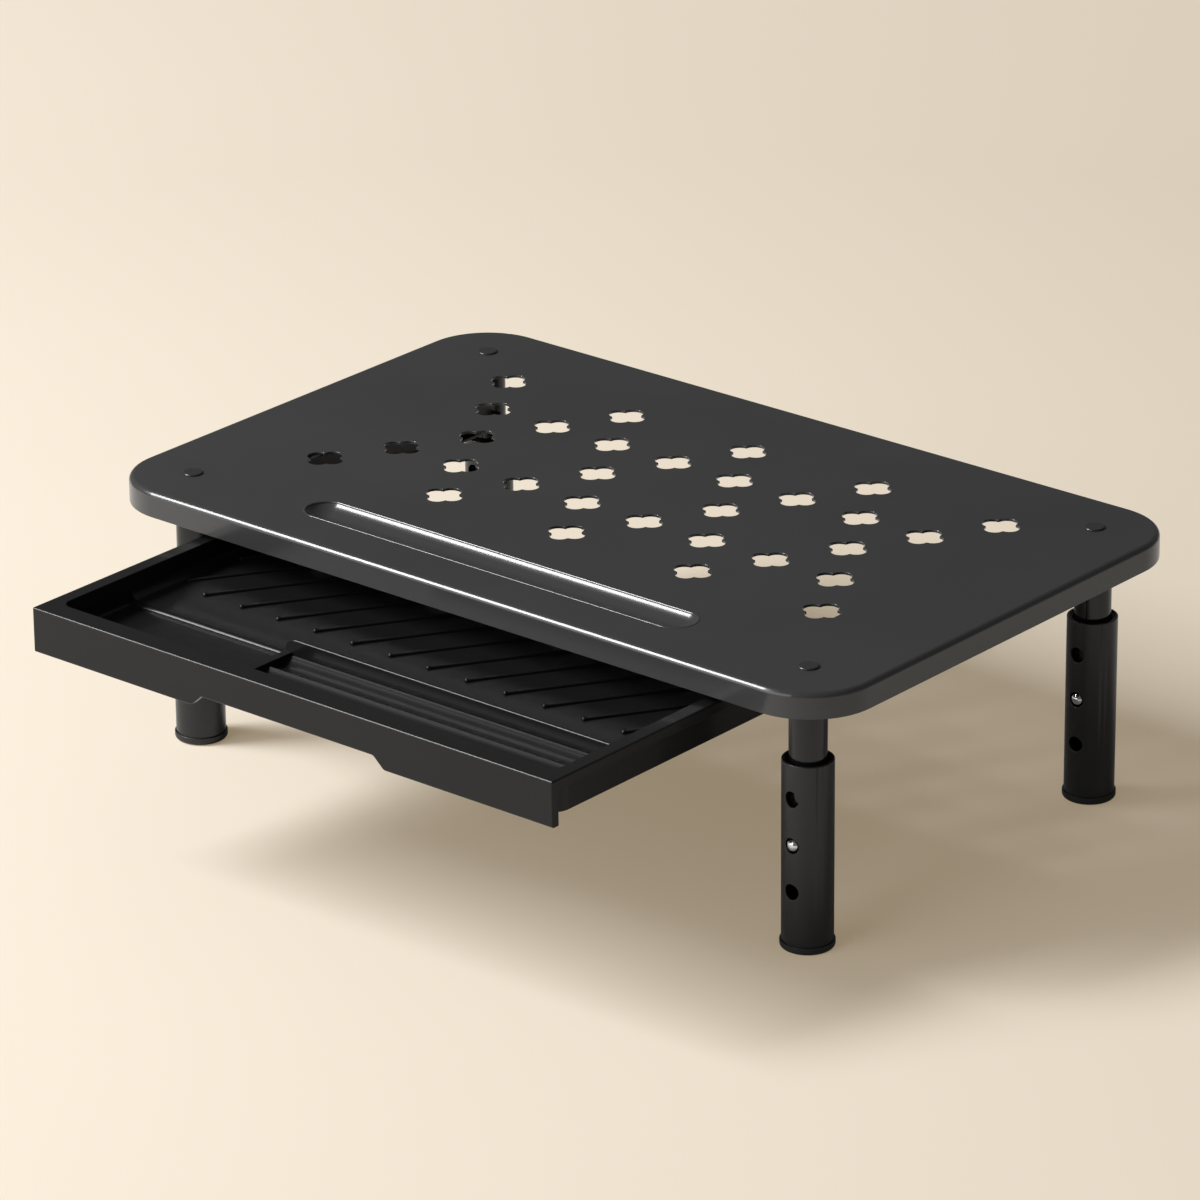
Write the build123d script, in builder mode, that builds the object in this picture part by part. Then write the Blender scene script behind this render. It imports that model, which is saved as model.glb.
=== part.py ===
from build123d import *
from math import radians, tan
import os

# Desk riser with a pull-out drawer: a vented steel plate on four telescopic legs, with a
# moulded tray that hangs from two folded runners under the plate.
# Millimetres, +Z up. The origin lies on the desk, midway between the four feet. X runs along
# the front edge, and the drawer pulls out towards -Y. The legs stand at their middle setting
# and the drawer stands part way out.

os.makedirs("parts", exist_ok=True)

# Drawer's outline, which the plate and the legs are laid out around
drawer_width = 277.2
drawer_depth = 189.0

# Plate, pressed from sheet with a turned-down skirt
plate_side_room = 54.7
plate_back_room = 53.3
plate_top = 120.0
plate_sheet = 1.2
plate_corner = 30.0
plate_edge = 2.4
skirt_height = 11.2

# Vents, on crossing diagonals: four round lobes on the sides of a square
vent_lobe = 4.3
vent_rows = 2
vent_columns = 8
vent_side_margin = 59.7
vent_front_margin = 75.15
vent_back_margin = 49.15

# Pen groove, a round-bottomed trough pressed into the plate in front of the vents
groove_side_margin = 90.3
groove_front_margin = 31.95
groove_width = 18.5
groove_depth = 4.2
groove_lip_radius = 0.4

# Legs
leg_side_inset = 28.3
leg_front_inset = 27.15
lower_tube_diameter = 21.2
lower_tube_wall = 1.2
lower_tube_top = 81.5
tube_lip_radius = 0.5
upper_tube_diameter = 15.5
upper_tube_wall = 1.1
height_hole_diameter = 6.6
height_hole_pitch = 20.0
height_hole_middle = 46.7
height_holes = 3
upper_tube_below_button = 13.0

# Guide bush in the mouth of the lower tube
bush_length = 10.0
bush_recess = 0.7
bush_chamfer = 0.5
sliding_gap = 0.3
seat_gap = 0.1

# Foot cap
foot_diameter = 22.5
foot_height = 3.4
foot_floor = 2.4
foot_edge = 1.6
foot_lip_radius = 0.25
foot_plug_height = 7.0
foot_plug_wall = 1.8

# Rivet and the plug that it grips
rivet_head_diameter = 8.6
rivet_head_height = 0.8
rivet_head_chamfer = 0.4
rivet_shank_diameter = 5.0
rivet_tail_diameter = 7.4
rivet_tail_height = 1.6
plug_length = 14.0

# Snap button and its hairpin spring
button_diameter = 5.8
button_dome = 2.6
button_proud = 0.6
button_flange_diameter = 7.6
button_flange = 0.8
button_flange_y = 4.3
spring_strip = 0.6
spring_width = 5.0
spring_front_below = 3.0
spring_arm = 20.0
spring_back_arm = 18.0
spring_wall_gap = 0.85

# Drawer moulding
drawer_pull = 96.1
drawer_extra_pull = 20.0
drawer_gap = 3.1
panel_height = 19.5
panel_thickness = 3.6
notch_width = 103.0
notch_depth = 4.9
notch_run = 5.5
notch_radius = 2.6
rim_side = 6.8
rim_front = 9.85
rim_thickness = 1.8
rim_skirt = 4.7
rim_edge = 0.8
tub_height = 18.0
tub_wall = 2.0
tub_corner = 5.0
back_floor_depth = 11.0
back_cove = 4.0

# Front compartments: a lower one at the left, and a pen bay with round troughs
clip_floor_depth = 13.2
clip_corner = 3.0
clip_cove = 2.0
pen_land_depth = 12.3
trough_width = 13.0
trough_depth = 2.4
trough_count = 3
pen_ledge = 0.8
pen_front_margin = 1.0
ridge_height = 7.0
ridge_thickness = 2.0
ridge_end_radius = 5.4
ridge_edge = 0.7
divider_thickness = 3.6
divider_x = -43.0

# Slanting ribs on the back floor
rib_pitch = 20.4
rib_count = 12
rib_extra_left = 3
rib_angle = 57.0
rib_width = 1.6
rib_height = 1.1
rib_edge = 0.5
rib_shift = 1.1
rib_front_gap = 21.9
rib_side_gap = 5.0
rib_back_gap = 14.0

# Stiffening under the tray and behind the panel
under_ribs = 3
under_rib_width = 1.8
gusset_width = 1.8
gusset_rise = 0.8
gusset_pitch = 62.0
gusset_count = 4

# Stop lugs on the rim's rear corners
lug_length = 8.0
lug_width = 4.6
lug_height = 3.4

# Runners
runner_sheet = 1.2
runner_gap = 0.8
runner_lip = 4.2
runner_flange = 11.4
runner_set_back = 18.0
runner_bend = 0.6
stop_gap = 0.3
stop_tab_height = 4.0
stop_tab_reach = 5.0
stop_tab_lift = 0.9
end_stop_height = 6.5

# Levels and places worked out from the sizes above
plate_width = drawer_width + 2 * plate_side_room
plate_depth = drawer_depth + plate_back_room
leg_spacing_x = plate_width - 2 * leg_side_inset
leg_spacing_y = plate_depth - 2 * leg_front_inset
vent_step = (plate_width / 2 - vent_side_margin) / vent_columns
vent_row_pitch = (plate_depth - vent_front_margin - vent_back_margin) / (2 * vent_rows)
vent_centre_y = (vent_front_margin - vent_back_margin) / 2
groove_length = plate_width - 2 * groove_side_margin
groove_y = -plate_depth / 2 + groove_front_margin
groove_radius = ((groove_width / 2) ** 2 + groove_depth**2) / (2 * groove_depth)
plate_under = plate_top - plate_sheet
skirt_bottom = plate_top - skirt_height
rim_top = skirt_bottom - drawer_gap
rim_lower = rim_top - rim_skirt
tub_bottom = rim_top - tub_height
back_floor = rim_top - back_floor_depth
clip_floor = rim_top - clip_floor_depth
pen_land = rim_top - pen_land_depth
ridge_top = pen_land + ridge_height
front_y = -plate_depth / 2 - drawer_pull
back_y = front_y + drawer_depth
middle_y = (front_y + back_y) / 2
inside_x = drawer_width / 2 - rim_side
inside_front = front_y + rim_front
inside_back = back_y - rim_side
inside_depth = inside_back - inside_front
inside_y = (inside_front + inside_back) / 2
trough_front = inside_front + pen_front_margin
ridge_y = trough_front + trough_count * trough_width + pen_ledge
divider_left = divider_x - divider_thickness
lower_bore = lower_tube_diameter / 2 - lower_tube_wall
upper_bore = upper_tube_diameter / 2 - upper_tube_wall
upper_tube_bottom = height_hole_middle - upper_tube_below_button
level_band = 0.01
corners = {"fl": (-1, -1), "fr": (1, -1), "bl": (-1, 1), "br": (1, 1)}


def leg_centre(side_x, side_y):
    """Place of a leg's axis on the desk."""
    return (side_x * leg_spacing_x / 2, side_y * leg_spacing_y / 2)


def leg_plane(corner, height):
    """Level plane on a leg's axis."""
    x, y = leg_centre(*corners[corner])
    return Plane((x, y, height))


def leg_front(corner, height):
    """Plane across a leg's axis that faces the front of the riser."""
    x, y = leg_centre(*corners[corner])
    return Plane((x, y, height), x_dir=(1, 0, 0), z_dir=(0, -1, 0))


def near(height):
    """Band of heights close to one level."""
    return (height - level_band, height + level_band)


def keep(piece, node):
    """Names a finished piece and writes it."""
    piece.label = node
    export_step(piece, f"parts/{node}.step")


# Vents lie where the diagonals of the trellis cross its rows
vent_places = [
    (column * vent_step, vent_centre_y + row * vent_row_pitch)
    for row in range(-vent_rows, vent_rows + 1)
    for column in range(-vent_columns, vent_columns + 1)
    if (column - 2 - row) % 4 == 0 or (column - 2 + row) % 4 == 0
]
quarter_turns = [(1, 0), (0, 1), (-1, 0), (0, -1)]

with BuildSketch() as vent:
    with BuildLine():
        for c, s in quarter_turns:
            ThreePointArc(
                (vent_lobe * (c + s), vent_lobe * (s - c)),
                (2 * vent_lobe * c, 2 * vent_lobe * s),
                (vent_lobe * (c - s), vent_lobe * (s + c)),
            )
    make_face()

# Groove's inside and the bulge that it presses out under the plate
groove_axis = Plane((0, groove_y, plate_top - groove_depth + groove_radius))
groove_ends = groove_length - groove_width

with BuildPart(groove_axis) as groove_inside:
    Cylinder(groove_radius, groove_ends, rotation=(0, 90, 0))
    with GridLocations(groove_ends, 0, 2, 1):
        Sphere(groove_radius)

with BuildPart(groove_axis) as groove_bulge:
    Cylinder(groove_radius + plate_sheet, groove_ends, rotation=(0, 90, 0))
    with GridLocations(groove_ends, 0, 2, 1):
        Sphere(groove_radius + plate_sheet)
    split(bisect_by=Plane.XY.offset(plate_under), keep=Keep.BOTTOM)

# Top plate
with BuildPart() as top_plate:
    with BuildSketch(Plane.XY.offset(skirt_bottom)):
        RectangleRounded(plate_width, plate_depth, plate_corner)
    extrude(amount=skirt_height)
    fillet(top_plate.faces().sort_by(Axis.Z)[-1].edges(), plate_edge)
    with BuildSketch(Plane.XY.offset(skirt_bottom)):
        RectangleRounded(plate_width, plate_depth, plate_corner)
        offset(amount=-plate_sheet, mode=Mode.REPLACE)
    extrude(amount=skirt_height - plate_sheet, mode=Mode.SUBTRACT)
    fillet(top_plate.edges().filter_by_position(Axis.Z, *near(plate_under)), plate_edge - plate_sheet)
    add(groove_bulge.part)
    add(groove_inside.part, mode=Mode.SUBTRACT)
    deck = top_plate.faces().filter_by_position(Axis.Z, *near(plate_top)).sort_by(SortBy.AREA)[-1]
    fillet(deck.inner_wires().edges(), groove_lip_radius)
    with BuildSketch(Plane.XY.offset(plate_under)):
        with Locations(*vent_places):
            add(vent.sketch)
    extrude(amount=plate_sheet, mode=Mode.SUBTRACT)
    with BuildSketch(Plane.XY.offset(plate_under)):
        with GridLocations(leg_spacing_x, leg_spacing_y, 2, 2):
            Circle(rivet_shank_diameter / 2 + seat_gap)
    extrude(amount=plate_sheet, mode=Mode.SUBTRACT)
keep(top_plate.part, "top_plate")

# Rivets: flat heads on the plate, shanks through the plugs and tails set below them
with BuildPart() as leg_rivets:
    with BuildSketch(Plane.XY.offset(plate_top)):
        with GridLocations(leg_spacing_x, leg_spacing_y, 2, 2):
            Circle(rivet_head_diameter / 2)
    extrude(amount=rivet_head_height)
    chamfer(leg_rivets.faces().group_by(Axis.Z)[-1].edges(), rivet_head_chamfer)
    with BuildSketch(Plane.XY.offset(plate_top)):
        with GridLocations(leg_spacing_x, leg_spacing_y, 2, 2):
            Circle(rivet_shank_diameter / 2)
    extrude(amount=-(plate_sheet + plug_length))
    with BuildSketch(Plane.XY.offset(plate_under - plug_length)):
        with GridLocations(leg_spacing_x, leg_spacing_y, 2, 2):
            Circle(rivet_tail_diameter / 2)
    extrude(amount=-rivet_tail_height)
keep(leg_rivets.part, "leg_rivets")

for corner in corners:
    # Upper tube, with a hole for the button
    with BuildPart() as upper_tube:
        with BuildSketch(leg_plane(corner, upper_tube_bottom)):
            Circle(upper_tube_diameter / 2)
            Circle(upper_bore, mode=Mode.SUBTRACT)
        extrude(amount=plate_under - upper_tube_bottom)
        with BuildSketch(leg_front(corner, height_hole_middle)):
            Circle(button_diameter / 2 + sliding_gap)
        extrude(amount=upper_tube_diameter, mode=Mode.SUBTRACT)
    keep(upper_tube.part, f"upper_tube_{corner}")

    # Plug in the top of the upper tube
    with BuildPart() as tube_plug:
        with BuildSketch(leg_plane(corner, plate_under - plug_length)):
            Circle(upper_bore - seat_gap)
            Circle(rivet_shank_diameter / 2 + seat_gap, mode=Mode.SUBTRACT)
        extrude(amount=plug_length)
    keep(tube_plug.part, f"tube_plug_{corner}")

    # Lower tube, with a column of height holes in front
    with BuildPart() as lower_tube:
        with BuildSketch(leg_plane(corner, foot_floor)):
            Circle(lower_tube_diameter / 2)
            Circle(lower_bore, mode=Mode.SUBTRACT)
        extrude(amount=lower_tube_top - foot_floor)
        fillet(lower_tube.faces().sort_by(Axis.Z)[-1].edges(), tube_lip_radius)
        with BuildSketch(leg_front(corner, height_hole_middle)):
            with GridLocations(0, height_hole_pitch, 1, height_holes):
                Circle(height_hole_diameter / 2)
        extrude(amount=lower_tube_diameter, mode=Mode.SUBTRACT)
    keep(lower_tube.part, f"lower_tube_{corner}")

    # Guide bush, a little below the tube's mouth
    with BuildPart() as guide_bush:
        with BuildSketch(leg_plane(corner, lower_tube_top - bush_recess)):
            Circle(lower_bore - seat_gap)
            Circle(upper_tube_diameter / 2 + sliding_gap, mode=Mode.SUBTRACT)
        extrude(amount=-bush_length)
        chamfer(guide_bush.faces().sort_by(Axis.Z)[-1].inner_wires().edges(), bush_chamfer)
    keep(guide_bush.part, f"guide_bush_{corner}")

    # Foot cap: a cup round the tube's end, with a hollow plug inside the tube
    with BuildPart() as foot_cap:
        with BuildSketch(leg_plane(corner, 0)):
            Circle(foot_diameter / 2)
        extrude(amount=foot_height)
        fillet(foot_cap.faces().sort_by(Axis.Z)[0].edges(), foot_edge)
        fillet(foot_cap.faces().sort_by(Axis.Z)[-1].edges(), foot_lip_radius)
        with BuildSketch(leg_plane(corner, foot_floor)):
            Circle(lower_tube_diameter / 2 + seat_gap / 2)
        extrude(amount=foot_height, mode=Mode.SUBTRACT)
        with BuildSketch(leg_plane(corner, foot_floor)):
            Circle(lower_bore - seat_gap)
            Circle(lower_bore - seat_gap - foot_plug_wall, mode=Mode.SUBTRACT)
        extrude(amount=foot_plug_height)
    keep(foot_cap.part, f"foot_cap_{corner}")

    # Snap button: a domed pin with a flange that stays inside the upper tube
    button_tip = lower_tube_diameter / 2 + button_proud
    with BuildPart() as snap_button:
        with BuildSketch(leg_front(corner, height_hole_middle).offset(button_flange_y)):
            Circle(button_flange_diameter / 2)
        extrude(amount=button_flange)
        with BuildSketch(leg_front(corner, height_hole_middle).offset(button_flange_y)):
            Circle(button_diameter / 2)
        extrude(amount=button_tip - button_flange_y)
        fillet(snap_button.faces().sort_by(Axis.Y)[0].edges(), button_dome)
    keep(snap_button.part, f"snap_button_{corner}")

    # Hairpin spring: the front arm backs the button, the rear arm bears on the tube
    spring_front = -button_flange_y + spring_strip / 2
    spring_back = upper_bore - spring_wall_gap - spring_strip / 2
    spring_bend = (spring_back - spring_front) / 2
    spring_top = height_hole_middle + spring_arm
    spring_x, spring_y = leg_centre(*corners[corner])
    with BuildPart() as snap_spring:
        with BuildSketch(Plane((spring_x, spring_y, 0), x_dir=(0, 1, 0), z_dir=(1, 0, 0))):
            with BuildLine() as hairpin:
                Line((spring_front, height_hole_middle - spring_front_below), (spring_front, spring_top))
                ThreePointArc(
                    (spring_front, spring_top),
                    (spring_front + spring_bend, spring_top + spring_bend),
                    (spring_back, spring_top),
                )
                Line((spring_back, spring_top), (spring_back, spring_top - spring_back_arm))
            trace(line_width=spring_strip)
        extrude(amount=spring_width / 2, both=True)
    keep(snap_spring.part, f"snap_spring_{corner}")

# Drawer tray, one moulding
panel_plane = Plane((0, front_y, 0), x_dir=(1, 0, 0), z_dir=(0, -1, 0))
panel_bottom = rim_top - panel_height
pen_section = Plane((divider_x, 0, 0), x_dir=(0, 1, 0), z_dir=(1, 0, 0))
gusset_bottom = panel_bottom + notch_depth + gusset_rise
rib_start = ridge_y + rib_front_gap
rib_end = inside_back - rib_back_gap
rib_limit = inside_x - rib_side_gap
rib_slope = tan(radians(rib_angle))

# Hollow of the drawer down to the back floor, with a cove round it
with BuildPart() as back_hollow:
    with BuildSketch(Plane.XY.offset(rim_top)):
        with Locations((0, inside_y)):
            RectangleRounded(2 * inside_x, inside_depth, tub_corner)
    extrude(amount=-back_floor_depth)
    fillet(back_hollow.faces().sort_by(Axis.Z)[0].edges(), back_cove)

# Hollow of the front left compartment, with a smaller cove
with BuildPart() as clip_hollow:
    with BuildSketch(Plane.XY.offset(rim_top)):
        with Locations(((divider_left - inside_x) / 2, (inside_front + ridge_y) / 2)):
            clip_outline = Rectangle(inside_x + divider_left, ridge_y - inside_front)
        front_corners = clip_outline.vertices().group_by(Axis.Y)[0].sort_by(Axis.X)
        fillet(front_corners[0], tub_corner)
        fillet([front_corners[1]] + clip_outline.vertices().group_by(Axis.Y)[-1], clip_corner)
    extrude(amount=-clip_floor_depth)
    fillet(clip_hollow.faces().sort_by(Axis.Z)[0].edges(), clip_cove)

# Hollow of the pen bay, with its troughs, inside the same outline as the back hollow
with BuildPart() as pen_hollow:
    with BuildSketch(pen_section):
        with BuildLine():
            Polyline(
                (trough_front, pen_land),
                (inside_front, pen_land),
                (inside_front, rim_top),
                (ridge_y, rim_top),
                (ridge_y, pen_land),
                (ridge_y - pen_ledge, pen_land),
            )
            for trough in range(trough_count):
                trough_back = ridge_y - pen_ledge - trough * trough_width
                ThreePointArc(
                    (trough_back, pen_land),
                    (trough_back - trough_width / 2, pen_land - trough_depth),
                    (trough_back - trough_width, pen_land),
                )
        make_face()
    extrude(amount=inside_x - divider_x)
    with BuildSketch(Plane.XY.offset(rim_top)):
        with Locations((0, inside_y)):
            RectangleRounded(2 * inside_x, inside_depth, tub_corner)
    extrude(amount=-tub_height, mode=Mode.INTERSECT)

# Ridge that stands behind the pen bay, with a rounded left end
with BuildPart() as ridge:
    with BuildSketch(panel_plane.offset(front_y - ridge_y)):
        with BuildLine():
            Polyline(
                (divider_left, clip_floor),
                (inside_x + tub_wall / 2, clip_floor),
                (inside_x + tub_wall / 2, ridge_top),
                (divider_left, ridge_top),
                close=True,
            )
        ridge_outline = make_face()
        fillet(ridge_outline.vertices().group_by(Axis.X)[0].sort_by(Axis.Y)[-1], ridge_end_radius)
    extrude(amount=-ridge_thickness)
    ridge_sides = ridge.faces().sort_by(Axis.Y)
    outline_edges = ridge_sides[0].edges() + ridge_sides[-1].edges()
    open_edges = [e for e in outline_edges if e.center().X < inside_x and e.center().Z > clip_floor + level_band]
    fillet(open_edges, ridge_edge)

with BuildPart() as drawer_tray:
    # Rim with its turned-down edge
    with BuildSketch(Plane.XY.offset(rim_lower)):
        with Locations((0, middle_y)):
            Rectangle(drawer_width, drawer_depth)
    extrude(amount=rim_skirt)
    with BuildSketch(Plane.XY.offset(rim_lower)):
        with Locations((0, middle_y)):
            Rectangle(drawer_width - 2 * rim_thickness, drawer_depth - 2 * rim_thickness)
    extrude(amount=rim_skirt - rim_thickness, mode=Mode.SUBTRACT)
    # Tub
    with BuildSketch(Plane.XY.offset(tub_bottom)):
        with Locations((0, inside_y)):
            RectangleRounded(2 * (inside_x + tub_wall), inside_depth + 2 * tub_wall, tub_corner + tub_wall)
    extrude(amount=tub_height)
    # Front panel, with a finger notch in its lower edge
    with BuildSketch(panel_plane):
        with BuildLine():
            Polyline(
                (-drawer_width / 2, panel_bottom),
                (-notch_width / 2, panel_bottom),
                (-notch_width / 2 + notch_run, panel_bottom + notch_depth),
                (notch_width / 2 - notch_run, panel_bottom + notch_depth),
                (notch_width / 2, panel_bottom),
                (drawer_width / 2, panel_bottom),
                (drawer_width / 2, rim_top),
                (-drawer_width / 2, rim_top),
                close=True,
            )
        panel_outline = make_face()
        notch_corners = [v for v in panel_outline.vertices() if abs(v.X) < drawer_width / 2 - panel_thickness]
        fillet(notch_corners, notch_radius)
    extrude(amount=-panel_thickness)
    # Gussets between the panel and the tub
    with BuildSketch(Plane.XY.offset(gusset_bottom)):
        with Locations((0, front_y + rim_front / 2)):
            with GridLocations(gusset_pitch, 0, gusset_count, 1):
                Rectangle(gusset_width, rim_front)
    extrude(amount=rim_top - rim_thickness - gusset_bottom)
    # Rounded outer edges of the panel and the rim
    panel_edges = drawer_tray.faces().sort_by(Axis.Y)[0].edges()
    rim_edges = drawer_tray.faces().sort_by(Axis.Z)[-1].outer_wire().edges().sort_by(Axis.Y)[1:]
    fillet(panel_edges + rim_edges, rim_edge)
    # Inside
    add(back_hollow.part, mode=Mode.SUBTRACT)
    add(clip_hollow.part, mode=Mode.SUBTRACT)
    add(pen_hollow.part, mode=Mode.SUBTRACT)
    # Ridge behind the pen bay
    add(ridge.part)
    # Slanting ribs on the back floor
    with BuildSketch(Plane.XY.offset(back_floor)):
        for rib in range(-rib_extra_left, rib_count):
            foot_x = (rib - (rib_count - 1) / 2) * rib_pitch + rib_shift
            left_x = max(foot_x, -rib_limit)
            right_x = min(foot_x + (rib_end - rib_start) / rib_slope, rib_limit)
            left_y = rib_start + (left_x - foot_x) * rib_slope
            right_y = rib_start + (right_x - foot_x) * rib_slope
            SlotCenterPoint(((left_x + right_x) / 2, (left_y + right_y) / 2), (right_x, right_y), rib_width)
    extrude(amount=rib_height)
    fillet(drawer_tray.edges().filter_by_position(Axis.Z, *near(back_floor + rib_height)), rib_edge)
    # Hollows under the back floor, with stiffening ribs left standing, and under the clip floor
    under_pocket = (2 * inside_x - under_ribs * under_rib_width) / (under_ribs + 1)
    under_front = ridge_y + ridge_thickness
    with BuildSketch(Plane.XY.offset(tub_bottom)):
        with Locations((0, (under_front + inside_back) / 2)):
            with GridLocations(under_pocket + under_rib_width, 0, under_ribs + 1, 1):
                RectangleRounded(under_pocket, inside_back - under_front, tub_wall)
    extrude(amount=back_floor - tub_wall - tub_bottom, mode=Mode.SUBTRACT)
    with BuildSketch(Plane.XY.offset(tub_bottom)):
        with Locations(((divider_left - inside_x) / 2, (inside_front + ridge_y) / 2)):
            RectangleRounded(inside_x + divider_left, ridge_y - inside_front, tub_wall)
    extrude(amount=clip_floor - tub_wall - tub_bottom, mode=Mode.SUBTRACT)
    # Stop lugs on the rim's rear corners
    lug_x = drawer_width / 2 - rim_edge - lug_width / 2
    with BuildSketch(Plane.XY.offset(rim_top - rim_thickness)):
        with Locations((0, back_y - rim_edge - lug_length / 2)):
            with GridLocations(2 * lug_x, 0, 2, 1):
                Rectangle(lug_width, lug_length)
    extrude(amount=rim_thickness + lug_height)
keep(drawer_tray.part, "drawer_tray")

# Runners: the flange lies under the plate, the web drops beside the tray, and the lip
# carries the rim's turned-down edge
runner_inner = drawer_width / 2 + runner_gap
runner_outer = runner_inner + runner_sheet
lip_top = rim_lower - sliding_gap
lip_bottom = lip_top - runner_sheet
runner_front = -plate_depth / 2 + runner_set_back
closed_back = -plate_depth / 2 + drawer_depth
runner_back = closed_back + stop_gap + runner_sheet
lug_front_rest = back_y - rim_edge - lug_length
tab_back = lug_front_rest - drawer_extra_pull - stop_gap
tab_bottom = rim_top + stop_tab_lift

for side, sign in (("left", -1), ("right", 1)):
    with BuildPart() as runner:
        with BuildSketch(Plane((0, runner_front, 0), x_dir=(1, 0, 0), z_dir=(0, -1, 0))):
            with BuildLine():
                Polyline(
                    (sign * (runner_inner - runner_lip), lip_bottom),
                    (sign * runner_outer, lip_bottom),
                    (sign * runner_outer, plate_under - runner_sheet),
                    (sign * (runner_outer + runner_flange), plate_under - runner_sheet),
                    (sign * (runner_outer + runner_flange), plate_under),
                    (sign * runner_inner, plate_under),
                    (sign * runner_inner, lip_top),
                    (sign * (runner_inner - runner_lip), lip_top),
                    close=True,
                )
            section = make_face()
            web_band = (runner_inner - level_band, runner_outer + level_band)
            bends = [v for v in section.vertices() if web_band[0] < abs(v.X) < web_band[1]]
            fillet(bends, runner_bend)
        extrude(amount=-(runner_back - runner_front))
        # Stop tab lanced out of the web, and the window that it leaves
        web_middle = sign * (runner_inner + runner_sheet / 2)
        with BuildSketch(Plane((web_middle, 0, 0), x_dir=(0, 1, 0), z_dir=(1, 0, 0))):
            with Locations((tab_back + stop_tab_reach / 2, tab_bottom + stop_tab_height / 2)):
                Rectangle(stop_tab_reach, stop_tab_height)
        extrude(amount=runner_sheet, both=True, mode=Mode.SUBTRACT)
        with BuildSketch(Plane.XY.offset(tab_bottom)):
            with Locations((sign * (runner_outer - stop_tab_reach / 2), tab_back - runner_sheet / 2)):
                Rectangle(stop_tab_reach, runner_sheet)
        extrude(amount=stop_tab_height)
        # End stop folded across the rear of the lip
        with BuildSketch(Plane.XY.offset(lip_bottom)):
            with Locations((sign * (runner_outer - stop_tab_reach / 2), runner_back - runner_sheet / 2)):
                Rectangle(stop_tab_reach, runner_sheet)
        extrude(amount=end_stop_height)
    keep(runner.part, f"runner_{side}")
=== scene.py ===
# %% [markdown]
# # A desk riser with a drawer
# The riser is a pressed steel plate on four telescopic legs, with a shallow moulded tray that
# slides out from under it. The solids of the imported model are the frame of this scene. They are
# already in the right place, so every piece made here is built around them, in metres, with X
# along the front edge, Y to the back and Z up.

# %% Load the frame
from math import cos, radians, sin

import bmesh
import bpy
from mathutils import Matrix, Vector


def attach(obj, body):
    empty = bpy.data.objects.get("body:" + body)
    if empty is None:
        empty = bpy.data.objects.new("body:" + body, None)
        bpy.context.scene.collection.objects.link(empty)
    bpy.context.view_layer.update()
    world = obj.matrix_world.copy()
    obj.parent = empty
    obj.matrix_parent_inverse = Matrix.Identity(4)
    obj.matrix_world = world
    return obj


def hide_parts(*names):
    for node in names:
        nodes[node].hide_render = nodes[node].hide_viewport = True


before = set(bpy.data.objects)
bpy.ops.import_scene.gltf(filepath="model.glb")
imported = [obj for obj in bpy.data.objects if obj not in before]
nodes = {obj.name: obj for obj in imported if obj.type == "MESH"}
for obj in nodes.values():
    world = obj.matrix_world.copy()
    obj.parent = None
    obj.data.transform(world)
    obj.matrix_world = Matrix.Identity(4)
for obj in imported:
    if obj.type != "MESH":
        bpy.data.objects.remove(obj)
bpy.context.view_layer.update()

corners = ("fl", "fr", "bl", "br")
MM = 0.001

# %% [markdown]
# ## From a solid to a finished piece
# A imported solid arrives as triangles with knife-sharp edges. No coated or moulded edge is that
# sharp: it carries a small radius, and that radius is what catches the light. A modifier could
# round the edges, but it works on the loose triangles, so here a merged copy is cleaned first.
# Flat regions are dissolved into large faces, the sharp outer edges are bevelled with bmesh, and
# the faces are shaded smooth up to the angle at which a real edge would show.

# %% Helpers for pieces
CREASE = radians(50)
SAME_POINT = 0.002 * MM
SAME_PLANE = radians(0.5)
ROUND_SEGMENTS = 2


def add_object(name, data):
    """Puts a mesh, lamp or camera into the scene as an object at the origin."""
    made = bpy.data.objects.new(name, data)
    bpy.context.scene.collection.objects.link(made)
    return made


def finish_piece(bm, name, body, material, replaced=()):
    """Turns a bmesh into an object that rides on a body and stands for CAD nodes."""
    for face in bm.faces:
        face.smooth = True
    for edge in bm.edges:
        edge.smooth = edge.calc_face_angle(0.0) < CREASE
    mesh = bpy.data.meshes.new(name)
    bm.to_mesh(mesh)
    bm.free()
    mesh.materials.append(material)
    piece = add_object(name, mesh)
    flats = piece.modifiers.new("flats_stay_flat", "WEIGHTED_NORMAL")
    flats.keep_sharp = True
    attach(piece, body)
    if replaced:
        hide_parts(*replaced)
    return piece


def merged_copy(node):
    """A CAD node's triangles as one welded bmesh, with flat regions joined."""
    bm = bmesh.new()
    bm.from_mesh(nodes[node].data)
    bmesh.ops.remove_doubles(bm, verts=bm.verts, dist=SAME_POINT)
    bmesh.ops.dissolve_limit(
        bm, angle_limit=SAME_PLANE, verts=bm.verts, edges=bm.edges, delimit=set()
    )
    return bm


def sharp_edges(bm, angle, keep):
    """The outer edges to keep whose faces meet at more than an angle in degrees."""
    limit = radians(angle)
    return [
        e for e in bm.edges
        if len(e.link_faces) == 2 and e.is_convex and e.calc_face_angle() > limit and keep(e)
    ]


def soften(node, name, body, material, width, angle=40, keep=lambda edge: True):
    """A copy of a CAD node with its sharp edges rounded, in the node's place."""
    bm = merged_copy(node)
    edges = sharp_edges(bm, angle, keep)
    bmesh.ops.bevel(
        bm, geom=edges, offset=width, offset_type="OFFSET", affect="EDGES",
        segments=ROUND_SEGMENTS, profile=0.5, material=-1, clamp_overlap=False,
    )
    piece = finish_piece(bm, name, body, material, [node])
    print(name, "rounded", len(edges), "edges,", len(piece.data.polygons), "faces")


# %% [markdown]
# ## Helpers for shader nodes
# A finish is a small network of nodes. Each helper adds one node to a tree and returns its
# output, and each input may be a constant or another node's output. Most of a noise lies
# between 0.3 and 0.7, so that range is stretched where a full one is wanted.

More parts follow.
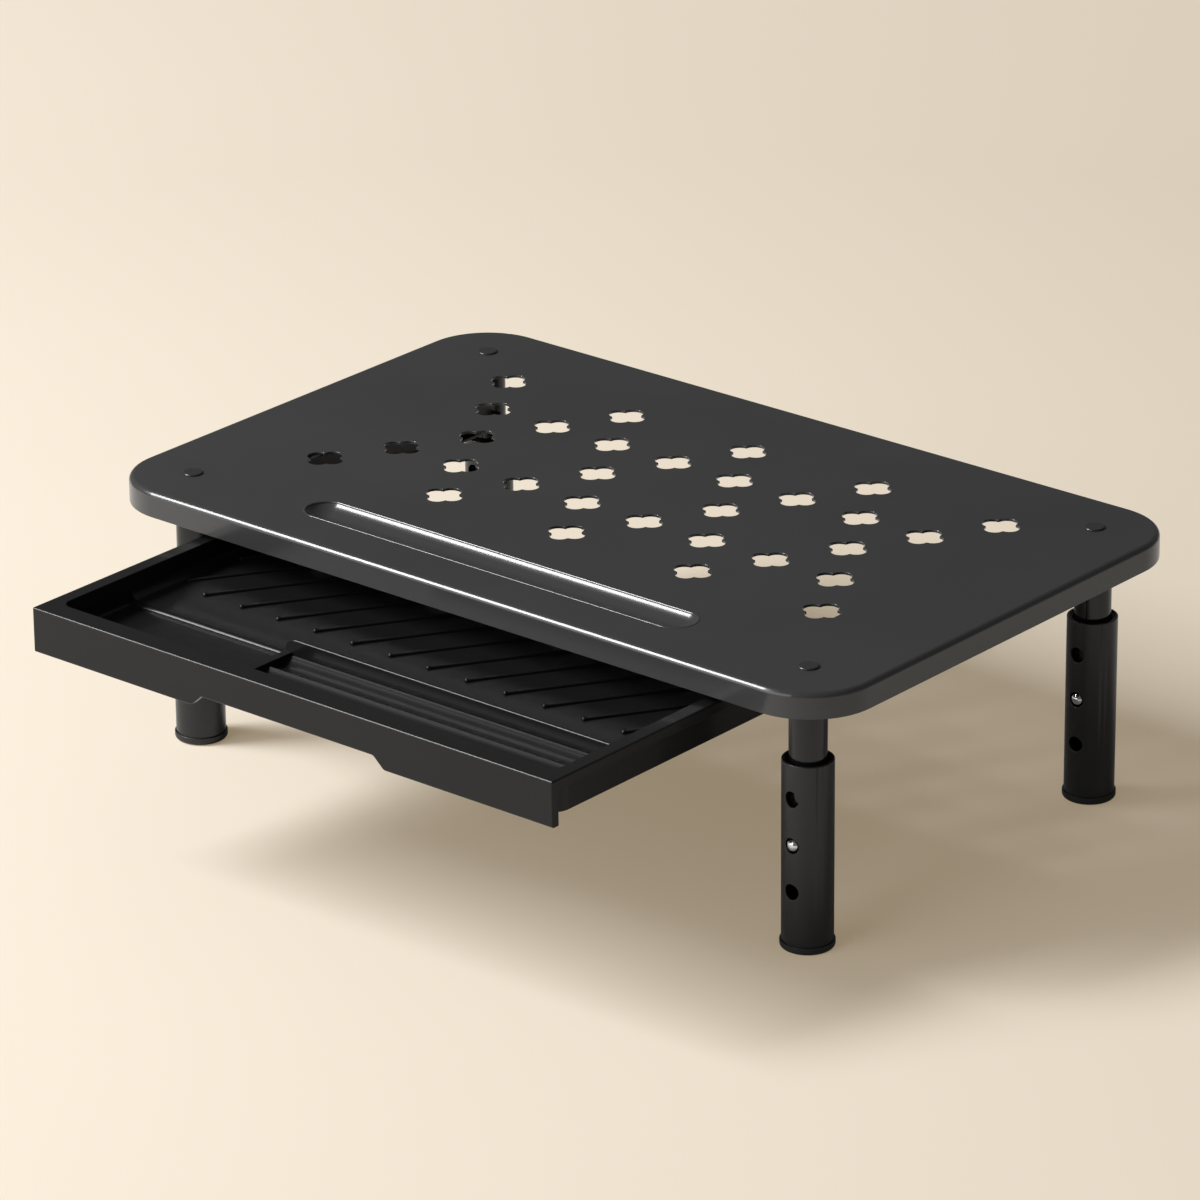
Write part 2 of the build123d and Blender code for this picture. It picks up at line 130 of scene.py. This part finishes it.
# %% Helpers for nodes
FLOAT, COLOUR, VECTOR = "NodeSocketFloat", "NodeSocketColor", "NodeSocketVector"
NOISE_LOW, NOISE_HIGH = 0.3, 0.7


def new_group(name, inputs, outputs):
    """An empty shader node group with named sockets."""
    group = bpy.data.node_groups.new(name, "ShaderNodeTree")
    for socket, kind, value in inputs:
        made = group.interface.new_socket(socket, in_out="INPUT", socket_type=kind)
        if value is not None:
            made.default_value = value
    for socket, kind in outputs:
        group.interface.new_socket(socket, in_out="OUTPUT", socket_type=kind)
    return group, group.nodes.new("NodeGroupInput"), group.nodes.new("NodeGroupOutput")


def feed(tree, socket, value):
    """Links an output to a socket, or sets the socket to a constant."""
    if isinstance(value, bpy.types.NodeSocket):
        tree.links.new(value, socket)
    else:
        socket.default_value = value


def math_node(tree, operation, a, b):
    """A Math node."""
    node = tree.nodes.new("ShaderNodeMath")
    node.operation = operation
    feed(tree, node.inputs[0], a)
    feed(tree, node.inputs[1], b)
    return node.outputs[0]


def weighted_sum(tree, first, first_share, second, second_share):
    """Two values added in given shares."""
    return math_node(
        tree, "ADD",
        math_node(tree, "MULTIPLY", first, first_share),
        math_node(tree, "MULTIPLY", second, second_share),
    )


def noise(tree, vector, scale, detail=2.0, roughness=0.5):
    """A noise texture on given coordinates."""
    node = tree.nodes.new("ShaderNodeTexNoise")
    feed(tree, node.inputs["Vector"], vector)
    feed(tree, node.inputs["Scale"], scale)
    feed(tree, node.inputs["Detail"], detail)
    feed(tree, node.inputs["Roughness"], roughness)
    return node.outputs["Fac"]


def remap(tree, value, low, high, to_low, to_high):
    """A Map Range node."""
    node = tree.nodes.new("ShaderNodeMapRange")
    for socket, entry in zip(node.inputs[:5], (value, low, high, to_low, to_high)):
        feed(tree, socket, entry)
    return node.outputs[0]


def mix_colours(tree, factor, first, second):
    """A colour Mix node."""
    node = tree.nodes.new("ShaderNodeMix")
    node.data_type = "RGBA"
    feed(tree, node.inputs["Factor"], factor)
    feed(tree, node.inputs[6], first)
    feed(tree, node.inputs[7], second)
    return node.outputs[2]


# %% [markdown]
# ## Coat texture
# The first shared effect is the fine orange-peel of a sprayed and baked coat. It reads Object
# coordinates, so the peel has a true size in metres and stays put when a piece moves. Faces that
# lie flat can be rougher, and a clear coat can be kept for the bends, where a coat flows out.

# %% Coat texture group
SPECK_SCALE = 4200.0
SPECK_HEIGHT = 0.35
CLOUD_SCALE = 9.0
CLOUD_SHARE, SPECK_SHARE = 0.7, 0.3
FLAT_BEGINS, FLAT_FULL = 0.90, 0.985

coat_group, given, result = new_group(
    "Coat texture",
    [
        ("Vector", VECTOR, None),
        ("Peel scale", FLOAT, 900.0),
        ("Dark", COLOUR, (0.01, 0.01, 0.01, 1.0)),
        ("Light", COLOUR, (0.02, 0.02, 0.02, 1.0)),
        ("Smoothest", FLOAT, 0.4),
        ("Roughest", FLOAT, 0.5),
        ("Flat roughness", FLOAT, 0.0),
        ("Bend coat", FLOAT, 0.0),
    ],
    [("Colour", COLOUR), ("Roughness", FLOAT), ("Height", FLOAT), ("Coat Weight", FLOAT)],
)
take = given.outputs
give = result.inputs
link = coat_group.links.new

peel = noise(coat_group, take["Vector"], take["Peel scale"], detail=3.0, roughness=0.55)
speck = noise(coat_group, take["Vector"], SPECK_SCALE, detail=1.0)
cloud = noise(coat_group, take["Vector"], CLOUD_SCALE, detail=3.0, roughness=0.6)
link(weighted_sum(coat_group, peel, 1.0, speck, SPECK_HEIGHT), give["Height"])

mottle = weighted_sum(coat_group, cloud, CLOUD_SHARE, speck, SPECK_SHARE)
tone = remap(coat_group, mottle, NOISE_LOW, NOISE_HIGH, 0.0, 1.0)
link(mix_colours(coat_group, tone, take["Dark"], take["Light"]), give["Colour"])

facing = coat_group.nodes.new("ShaderNodeSeparateXYZ")
link(coat_group.nodes.new("ShaderNodeNewGeometry").outputs["Normal"], facing.inputs[0])
lying = math_node(coat_group, "ABSOLUTE", facing.outputs["Z"], 0.0)
flat = remap(coat_group, lying, FLAT_BEGINS, FLAT_FULL, 0.0, 1.0)
bend = math_node(coat_group, "SUBTRACT", 1.0, flat)
sprayed = remap(
    coat_group, cloud, NOISE_LOW, NOISE_HIGH, take["Smoothest"], take["Roughest"]
)
sanded = math_node(coat_group, "MULTIPLY", flat, take["Flat roughness"])
link(math_node(coat_group, "ADD", sprayed, sanded), give["Roughness"])
link(math_node(coat_group, "MULTIPLY", bend, take["Bend coat"]), give["Coat Weight"])
print("node group:", coat_group.name)

# %% [markdown]
# ## Mould grain
# The second shared effect is the spark-eroded grain that a mould leaves on plastic: small round
# pits, and a faint cloudiness where the plastic flowed.

# %% Mould grain group
FLOW_SCALE = 14.0
FLOW_SHARE, PIT_SHARE = 0.6, 0.4
TONE_LOW, TONE_HIGH = 0.2, 0.7

grain_group, given, result = new_group(
    "Mould grain",
    [
        ("Vector", VECTOR, None),
        ("Grain scale", FLOAT, 1600.0),
        ("Dark", COLOUR, (0.01, 0.01, 0.01, 1.0)),
        ("Light", COLOUR, (0.02, 0.02, 0.02, 1.0)),
        ("Smoothest", FLOAT, 0.45),
        ("Roughest", FLOAT, 0.6),
    ],
    [("Colour", COLOUR), ("Roughness", FLOAT), ("Height", FLOAT)],
)
take = given.outputs
give = result.inputs
link = grain_group.links.new

cells = grain_group.nodes.new("ShaderNodeTexVoronoi")
cells.feature = "SMOOTH_F1"
link(take["Vector"], cells.inputs["Vector"])
link(take["Grain scale"], cells.inputs["Scale"])
pits = cells.outputs["Distance"]
flow = noise(grain_group, take["Vector"], FLOW_SCALE, detail=4.0, roughness=0.6)
link(pits, give["Height"])

mottle = weighted_sum(grain_group, flow, FLOW_SHARE, pits, PIT_SHARE)
tone = remap(grain_group, mottle, TONE_LOW, TONE_HIGH, 0.0, 1.0)
link(mix_colours(grain_group, tone, take["Dark"], take["Light"]), give["Colour"])
eroded = remap(
    grain_group, flow, NOISE_LOW, NOISE_HIGH, take["Smoothest"], take["Roughest"]
)
link(eroded, give["Roughness"])
print("node group:", grain_group.name)

# %% [markdown]
# ## From an effect to a finish
# Each finish is a Principled shader. It takes its colour, roughness and bump from one of the two
# shared effects, and its constants are set on the shader itself.


# %% Helpers for finishes
def textured(
    name, group, scale_name, scale, dark, light, smooth, rough, bump, bump_size,
    metallic=0.0, specular=0.5, coat=0.0, coat_rough=0.1, flat_rough=None,
):
    """A Principled material whose colour, roughness and bump come from a shared group."""
    material = bpy.data.materials.new(name)
    material.use_nodes = True
    tree = material.node_tree
    shader = tree.nodes["Principled BSDF"]
    shader.inputs["Metallic"].default_value = metallic
    shader.inputs["Specular IOR Level"].default_value = specular
    shader.inputs["Coat Weight"].default_value = coat
    shader.inputs["Coat Roughness"].default_value = coat_rough
    effect = tree.nodes.new("ShaderNodeGroup")
    effect.node_tree = group
    effect.inputs[scale_name].default_value = scale
    effect.inputs["Dark"].default_value = (*dark, 1.0)
    effect.inputs["Light"].default_value = (*light, 1.0)
    effect.inputs["Smoothest"].default_value = smooth
    effect.inputs["Roughest"].default_value = rough
    if flat_rough is not None:
        effect.inputs["Flat roughness"].default_value = flat_rough
        effect.inputs["Bend coat"].default_value = coat
        tree.links.new(effect.outputs["Coat Weight"], shader.inputs["Coat Weight"])
    coordinates = tree.nodes.new("ShaderNodeTexCoord")
    tree.links.new(coordinates.outputs["Object"], effect.inputs["Vector"])
    tree.links.new(effect.outputs["Colour"], shader.inputs["Base Color"])
    tree.links.new(effect.outputs["Roughness"], shader.inputs["Roughness"])
    relief = tree.nodes.new("ShaderNodeBump")
    relief.inputs["Strength"].default_value = bump
    relief.inputs["Distance"].default_value = bump_size
    tree.links.new(effect.outputs["Height"], relief.inputs["Height"])
    tree.links.new(relief.outputs["Normal"], shader.inputs["Normal"])
    return material


def coated(name, peel_scale, dark, light, **look):
    """A sprayed coat or a bare metal."""
    return textured(name, coat_group, "Peel scale", peel_scale, dark, light, **look)


def moulded(name, grain_scale, dark, light, **look):
    """A grained plastic."""
    return textured(name, grain_group, "Grain scale", grain_scale, dark, light, **look)


def grey(value):
    """A neutral colour with a trace of blue, as black paint has."""
    return (value, value, value * 1.03)


# %% [markdown]
# ## Finishes
# Everything is black, so the finishes have to differ in gloss and texture rather than in
# colour. The plate and lower tubes have a satin baked coat. On the plate it lies as a fine sand
# texture on the flats and flows out smooth on the bends, which draws the crisp line on its front
# edge. The upper tubes are glossy. The tray is grained plastic with the skin that a mould gives
# it. Only the snap buttons are bright.

# %% Materials
plate_coat = coated(
    "satin_coat", 900.0, grey(0.035), grey(0.042), smooth=0.24, rough=0.30,
    bump=0.16, bump_size=0.08 * MM, specular=0.3, coat=0.6, coat_rough=0.13, flat_rough=0.28,
)
tube_coat = coated(
    "tube_coat", 1100.0, grey(0.011), grey(0.015), smooth=0.27, rough=0.33,
    bump=0.12, bump_size=0.06 * MM,
)
tube_gloss = coated(
    "tube_gloss", 500.0, grey(0.006), grey(0.008), smooth=0.08, rough=0.14,
    bump=0.04, bump_size=0.05 * MM,
)
rivet_coat = coated(
    "rivet_coat", 1500.0, grey(0.020), grey(0.026), smooth=0.26, rough=0.32,
    bump=0.1, bump_size=0.04 * MM,
)
runner_coat = coated(
    "runner_coat", 900.0, grey(0.014), grey(0.020), smooth=0.40, rough=0.50,
    bump=0.12, bump_size=0.06 * MM,
)
tray_plastic = moulded(
    "tray_plastic", 1700.0, grey(0.006), grey(0.009), smooth=0.36, rough=0.42,
    bump=0.2, bump_size=0.06 * MM, specular=0.15, coat=0.25, coat_rough=0.12,
)
bush_plastic = moulded(
    "bush_plastic", 2200.0, grey(0.008), grey(0.012), smooth=0.45, rough=0.55,
    bump=0.15, bump_size=0.04 * MM,
)
foot_plastic = moulded(
    "foot_plastic", 2000.0, grey(0.010), grey(0.016), smooth=0.42, rough=0.52,
    bump=0.18, bump_size=0.05 * MM,
)
button_chrome = coated(
    "button_chrome", 1400.0, (0.72, 0.72, 0.74), (0.82, 0.82, 0.83), smooth=0.08, rough=0.16,
    bump=0.03, bump_size=0.03 * MM, metallic=1.0,
)
bare_steel = coated(
    "bare_steel", 1800.0, (0.42, 0.42, 0.43), (0.55, 0.55, 0.56), smooth=0.30, rough=0.42,
    bump=0.1, bump_size=0.04 * MM, metallic=1.0,
)
print("finishes:", len(bpy.data.materials))

# %% [markdown]
# ## Top plate
# The plate is one pressing: the skirt is folded down, the pen groove is pushed in and the vents
# are punched through. A punched edge is rolled over a little and the coat thickens on it, so
# the copy of the plate gets its vent rims, their cusps and the skirt's lower edge rounded.

# %% Plate
RIVET_X, RIVET_Y = 165 * MM, 94 * MM
RIVET_HOLE_REACH = 4 * MM
rivet_places = [(sx * RIVET_X, sy * RIVET_Y) for sx in (-1, 1) for sy in (-1, 1)]


def outside_rivets(edge):
    """Leaves out the rivet holes, which the rivet heads cover."""
    x, y, _ = (edge.verts[0].co + edge.verts[1].co) / 2
    return all((x - u) ** 2 + (y - v) ** 2 > RIVET_HOLE_REACH**2 for u, v in rivet_places)


soften(
    "top_plate", "plate", "platform", plate_coat,
    width=0.25 * MM, keep=outside_rivets,
)
soften(
    "leg_rivets", "rivets", "platform", rivet_coat,
    width=0.12 * MM, angle=25,
)

# %% [markdown]
# ## Rolled lip of the pen groove
# Where the groove is pressed in, the sheet rolls up a little round its edge. That lip is what
# draws the thin bright line on the groove's near side. It is a bead swept along the groove's
# outline: a small ring is spun half round one end, drawn straight along the back, spun round
# the other end and drawn back to where it began.

# %% Groove lip
GROOVE_Y = -89.2 * MM
GROOVE_END = 93.75 * MM
GROOVE_HALF_WIDTH = 9.25 * MM
BEAD = 0.7 * MM
BEAD_LEVEL = 119.55 * MM
BEAD_SIDES = 12
END_STEPS = 32
SEAM = 0.001 * MM


def draw_along(bm, edges, step):
    """Extrudes a ring of edges straight and returns the far ring's edges."""
    made = bmesh.ops.extrude_edge_only(bm, edges=edges)["geom"]
    far = [v for v in made if isinstance(v, bmesh.types.BMVert)]
    bmesh.ops.translate(bm, verts=far, vec=step)
    return [
        e for e in made
        if isinstance(e, bmesh.types.BMEdge) and all(v in far for v in e.verts)
    ]


def turn_round(bm, edges, centre):
    """Spins a ring of edges half a turn and returns the far ring's edges."""
    geom = edges + list({v for e in edges for v in e.verts})
    made = bmesh.ops.spin(
        bm, geom=geom, axis=(0, 0, 1), cent=centre, angle=radians(180), steps=END_STEPS
    )
    return [g for g in made["geom_last"] if isinstance(g, bmesh.types.BMEdge)]


lip = bmesh.new()
ring = bmesh.ops.create_circle(lip, segments=BEAD_SIDES, radius=BEAD)["verts"]
bmesh.ops.rotate(lip, verts=ring, cent=(0, 0, 0), matrix=Matrix.Rotation(radians(90), 3, "Y"))
bmesh.ops.translate(lip, verts=ring, vec=(GROOVE_END, GROOVE_Y - GROOVE_HALF_WIDTH, BEAD_LEVEL))
edges = turn_round(lip, list(lip.edges), (GROOVE_END, GROOVE_Y, BEAD_LEVEL))
edges = draw_along(lip, edges, (-2 * GROOVE_END, 0, 0))
edges = turn_round(lip, edges, (-GROOVE_END, GROOVE_Y, BEAD_LEVEL))
draw_along(lip, edges, (2 * GROOVE_END, 0, 0))
bmesh.ops.remove_doubles(lip, verts=lip.verts, dist=SEAM)
bmesh.ops.recalc_face_normals(lip, faces=lip.faces)
groove_lip = finish_piece(lip, "groove_lip", "platform", plate_coat)
print("groove lip:", len(groove_lip.data.polygons), "faces")

# %% [markdown]
# ## Tray
# The tray is one moulding. Every edge of a mould is broken a little, and on black plastic those
# narrow rounds are the only lines that show: the ridge, the divider, the rims and the ribs. The
# step between the two floors is only 2 mm high and a cove takes up most of it, so its edge is
# left as the solid has it.

# %% Tray
STEP_FRONT, STEP_BACK = -172 * MM, -160 * MM
STEP_TOP = 97.5 * MM


def off_the_step(edge):
    """Leaves out the low step in the tray's floor and the corner at its end."""
    return not any(STEP_FRONT < v.co.y < STEP_BACK and v.co.z < STEP_TOP for v in edge.verts)


soften(
    "drawer_tray", "tray", "drawer", tray_plastic,
    width=0.3 * MM, angle=35, keep=off_the_step,
)

# %% [markdown]
# ## Rib tips
# Each slanted rib in the tray starts with a small round nub, where the cutter plunged into the
# mould. The nubs are what glint in a row along the front of the ribs. They are spheres sunk
# into the floor.

# %% Tips
RIBS = 12
RIB_PITCH = 20.4 * MM
RIB_FIRST = -111.1 * MM
RIB_FRONT = -144.7 * MM
TRAY_FLOOR = 94.7 * MM
TIP_RADIUS = 1.2 * MM
TIP_RISE = 0.25 * MM
tips = bmesh.new()
for rib in range(RIBS):
    place = Matrix.Translation((RIB_FIRST + rib * RIB_PITCH, RIB_FRONT, TRAY_FLOOR + TIP_RISE))
    bmesh.ops.create_uvsphere(tips, u_segments=20, v_segments=12, radius=TIP_RADIUS, matrix=place)
finish_piece(tips, "rib_tips", "drawer", tray_plastic)
print("rib tips:", RIBS)

# %% [markdown]
# ## Runners
# The runners are folded strip. Their cut edges are only deburred, so the rounds are smaller.

# %% Runners
for side in ("left", "right"):
    soften(
        f"runner_{side}", f"runner_{side}_strip", "platform", runner_coat,
        width=0.15 * MM,
    )

# %% [markdown]
# ## Marks of making
# Seen from below, the runners show the shallow rings that the spot welder leaves, and the tray
# shows the round witness marks of the mould's ejector pins. Each is a disc that is inset three
# times: out to a raised ring, across the ring, and back in to a sunk middle.

# %% Welds and ejector marks
MARK_RISE = 0.15 * MM
RING_SHARE, DISH_SHARE = 0.12, 0.15
DISH_DEPTH = 0.8 * MARK_RISE
WELD_RADIUS, WELD_LEVEL = 2.4 * MM, 117.59 * MM
PIN_RADIUS, PIN_LEVEL = 3.0 * MM, 92.69 * MM
weld_columns = (-146.5, 146.5)
weld_rows = (-88.0, -52.0, -16.0, 20.0, 56.0)
pin_columns = (-99.0, -33.0, 33.0, 99.0)
pin_rows = (-140.0, -100.0, -60.0)


def witness_marks(columns, rows, level, radius):
    """Round marks that face down, each with a raised ring and a sunk middle."""
    bm = bmesh.new()
    for x in columns:
        for y in rows:
            disc = bmesh.ops.create_circle(bm, cap_ends=True, segments=24, radius=radius)["verts"]
            face = disc[0].link_faces[0]
            bmesh.ops.reverse_faces(bm, faces=[face])
            bmesh.ops.translate(bm, verts=disc, vec=(x * MM, y * MM, level))
            for share, depth in (
                (RING_SHARE, MARK_RISE), (RING_SHARE, 0.0), (DISH_SHARE, -DISH_DEPTH)
            ):
                bmesh.ops.inset_region(bm, faces=[face], thickness=radius * share, depth=depth)
    return bm


welds = witness_marks(weld_columns, weld_rows, WELD_LEVEL, WELD_RADIUS)
finish_piece(welds, "spot_welds", "platform", runner_coat)
pins = witness_marks(pin_columns, pin_rows, PIN_LEVEL, PIN_RADIUS)
finish_piece(pins, "ejector_marks", "drawer", tray_plastic)
print(
    "marks:", len(weld_columns) * len(weld_rows), "welds and",
    len(pin_columns) * len(pin_rows), "ejector pins",
)

# %% [markdown]
# ## Legs
# The lower tubes have three drilled holes each. The copy gets their rims rounded, as a coat
# leaves them.

# %% Legs
for corner in corners:
    soften(
        f"lower_tube_{corner}", f"leg_tube_{corner}", f"leg_{corner}",
        tube_coat, width=0.3 * MM,
    )

# %% [markdown]
# ## Solids that stay as they are
# The remaining solids already have the right shape, so they keep their mesh and only get a
# finish of their own.

# %% Dress the solids
solid_finishes = {
    "upper_tube": tube_gloss,
    "guide_bush": bush_plastic,
    "foot_cap": foot_plastic,
    "snap_button": button_chrome,
    "tube_plug": bare_steel,
    "snap_spring": bare_steel,
}
for kind, finish in solid_finishes.items():
    for corner in corners:
        for entry in nodes[f"{kind}_{corner}"].material_slots:
            entry.material = finish
print("dressed", len(solid_finishes) * len(corners), "solids")

# %% [markdown]
# ## Floor
# The floor is a plain pale sheet. It is a little brighter to the camera than to the object, and
# more so far off, where the lamps don't reach: to the camera alone it glows with painted light.
# Near the object the warm glow lightens the object's cast shadow, and far off it keeps the
# background pale without more light.

# %% Floor
FLOOR_HALF_SIZE = 6.0
FLOOR_CLOUD_SCALE = 3.0
FLOOR_BOUNCE = (0.76, 0.72, 0.66, 1.0), (0.78, 0.74, 0.68, 1.0)
FLOOR_SEEN = (0.64, 0.60, 0.535, 1.0), (0.66, 0.62, 0.555, 1.0)
NO_PAINTED_LIGHT = (0.0, 0.0, 0.0, 1.0)
# Painted light: glow colours that lighten the object's cast shadow near by and the unlit floor
# far off.
PAINTED_LIGHT_NEAR = (0.3125, 0.2406, 0.15, 1.0)
PAINTED_LIGHT_FAR = (1.0, 0.915, 0.74, 1.0)
PAINTED_LIGHT_BEGINS, PAINTED_LIGHT_FULL = 0.8, 4.0
PAINTED_LIGHT_STRENGTH = 0.8

floor_material = bpy.data.materials.new("pale_floor")
floor_material.use_nodes = True
floor_tree = floor_material.node_tree
link = floor_tree.links.new
floor_shader = floor_tree.nodes["Principled BSDF"]
floor_shader.inputs["Roughness"].default_value = 0.9
floor_shader.inputs["Specular IOR Level"].default_value = 0.1
floor_shader.inputs["Emission Strength"].default_value = PAINTED_LIGHT_STRENGTH
floor_place = floor_tree.nodes.new("ShaderNodeTexCoord").outputs["Object"]
seen = floor_tree.nodes.new("ShaderNodeLightPath").outputs["Is Camera Ray"]

floor_cloud = noise(floor_tree, floor_place, FLOOR_CLOUD_SCALE)
floor_colour = mix_colours(
    floor_tree, seen,
    mix_colours(floor_tree, floor_cloud, *FLOOR_BOUNCE),
    mix_colours(floor_tree, floor_cloud, *FLOOR_SEEN),
)
link(floor_colour, floor_shader.inputs["Base Color"])

# Painted light: the floor glows to the camera alone, warm near the object, where it lightens the
# cast shadow, and brighter far off.
reach = floor_tree.nodes.new("ShaderNodeVectorMath")
reach.operation = "LENGTH"
link(floor_place, reach.inputs[0])
far_off = remap(floor_tree, reach.outputs["Value"], PAINTED_LIGHT_BEGINS, PAINTED_LIGHT_FULL, 0.0, 1.0)
painted_floor_light = mix_colours(
    floor_tree, seen, NO_PAINTED_LIGHT, mix_colours(floor_tree, far_off, PAINTED_LIGHT_NEAR, PAINTED_LIGHT_FAR)
)
link(painted_floor_light, floor_shader.inputs["Emission Color"])

floor_bm = bmesh.new()
bmesh.ops.create_grid(floor_bm, x_segments=4, y_segments=4, size=FLOOR_HALF_SIZE)
floor_mesh = bpy.data.meshes.new("floor")
floor_bm.to_mesh(floor_mesh)
floor_bm.free()
floor_mesh.materials.append(floor_material)
floor = add_object("floor", floor_mesh)
print("floor:", 2 * FLOOR_HALF_SIZE, "m square")

# %% [markdown]
# ## Lamps
# The key is a strip at the upper front left. Its long side follows the direction in which the
# front fillet turns, so the fillet carries a long bright line. A broad, weak fill stands at the
# front.


# %% Lamps
def soft_light(name, place, target, along, length, width, power):
    """A rectangular lamp that faces a point, with its long side along a direction."""
    lamp = bpy.data.lights.new(name, "AREA")
    lamp.shape = "RECTANGLE"
    lamp.size = width
    lamp.size_y = length
    lamp.energy = power
    back = (Vector(place) - Vector(target)).normalized()
    side = Vector(along).cross(back).normalized()
    turn = Matrix((side, back.cross(side), back)).transposed().to_4x4()
    add_object(name, lamp).matrix_world = Matrix.Translation(place) @ turn
    print("lamp:", name, power, "W")


soft_light(
    "key", place=(-1.52, -1.25, 1.78), target=(0.0, 0.0, 0.08), along=(0.0, 0.82, 0.57),
    length=1.4, width=0.7, power=76.0,
)
soft_light(
    "fill", place=(-0.80, -2.60, 1.10), target=(0.0, 0.0, 0.05), along=(0.0, 0.0, 1.0),
    length=2.0, width=2.8, power=38.0,
)

# %% [markdown]
# ## World
# The world gives a dim, even light. To the camera alone it is as pale as the far floor, so that
# a low view has no dark band above the floor's edge.

# %% World
AMBIENT_COLOUR, AMBIENT_STRENGTH = (1.0, 0.99, 0.97, 1.0), 0.13
BACKDROP_COLOUR = (0.92, 0.83, 0.69, 1.0)
world = bpy.data.worlds.new("studio")
bpy.context.scene.world = world
world.use_nodes = True
world_nodes = world.node_tree.nodes
link = world.node_tree.links.new
ambient = world_nodes["Background"]
ambient.inputs["Color"].default_value = AMBIENT_COLOUR
ambient.inputs["Strength"].default_value = AMBIENT_STRENGTH
backdrop = world_nodes.new("ShaderNodeBackground")
backdrop.inputs["Color"].default_value = BACKDROP_COLOUR
either = world_nodes.new("ShaderNodeMixShader")
link(world_nodes.new("ShaderNodeLightPath").outputs["Is Camera Ray"], either.inputs[0])
link(ambient.outputs[0], either.inputs[1])
link(backdrop.outputs[0], either.inputs[2])
link(either.outputs[0], world_nodes["World Output"].inputs["Surface"])
bpy.context.scene.view_settings.view_transform = "Standard"
print("world:", world.name, "at", AMBIENT_STRENGTH)

# %% [markdown]
# ## Camera
# The camera was fitted to the plate's corners, the legs, their holes and the drawer as the
# photograph shows them. It stands far off with a long lens, a trace of roll and a shift.

# %% Camera
CAMERA_PLACE = Vector((1.69226, -2.01525, 1.15971))
CAMERA_FORWARD = Vector((-0.58993, 0.70746, -0.38920)).normalized()
CAMERA_ROLL = radians(-0.303)
level_right = CAMERA_FORWARD.cross(Vector((0.0, 0.0, 1.0))).normalized()
level_up = level_right.cross(CAMERA_FORWARD)
right = level_right * cos(CAMERA_ROLL) + level_up * sin(CAMERA_ROLL)
up = level_up * cos(CAMERA_ROLL) - level_right * sin(CAMERA_ROLL)
aim = Matrix((right, up, -CAMERA_FORWARD)).transposed().to_4x4()
lens = bpy.data.cameras.new("camera")
lens.sensor_width = 36.0
lens.lens = 204.68
lens.shift_x = -0.0511
lens.shift_y = 0.0503
lens.clip_end = 30.0
camera = add_object("camera", lens)
camera.matrix_world = Matrix.Translation(CAMERA_PLACE) @ aim
bpy.context.scene.camera = camera
print("camera at", tuple(round(v, 3) for v in CAMERA_PLACE))
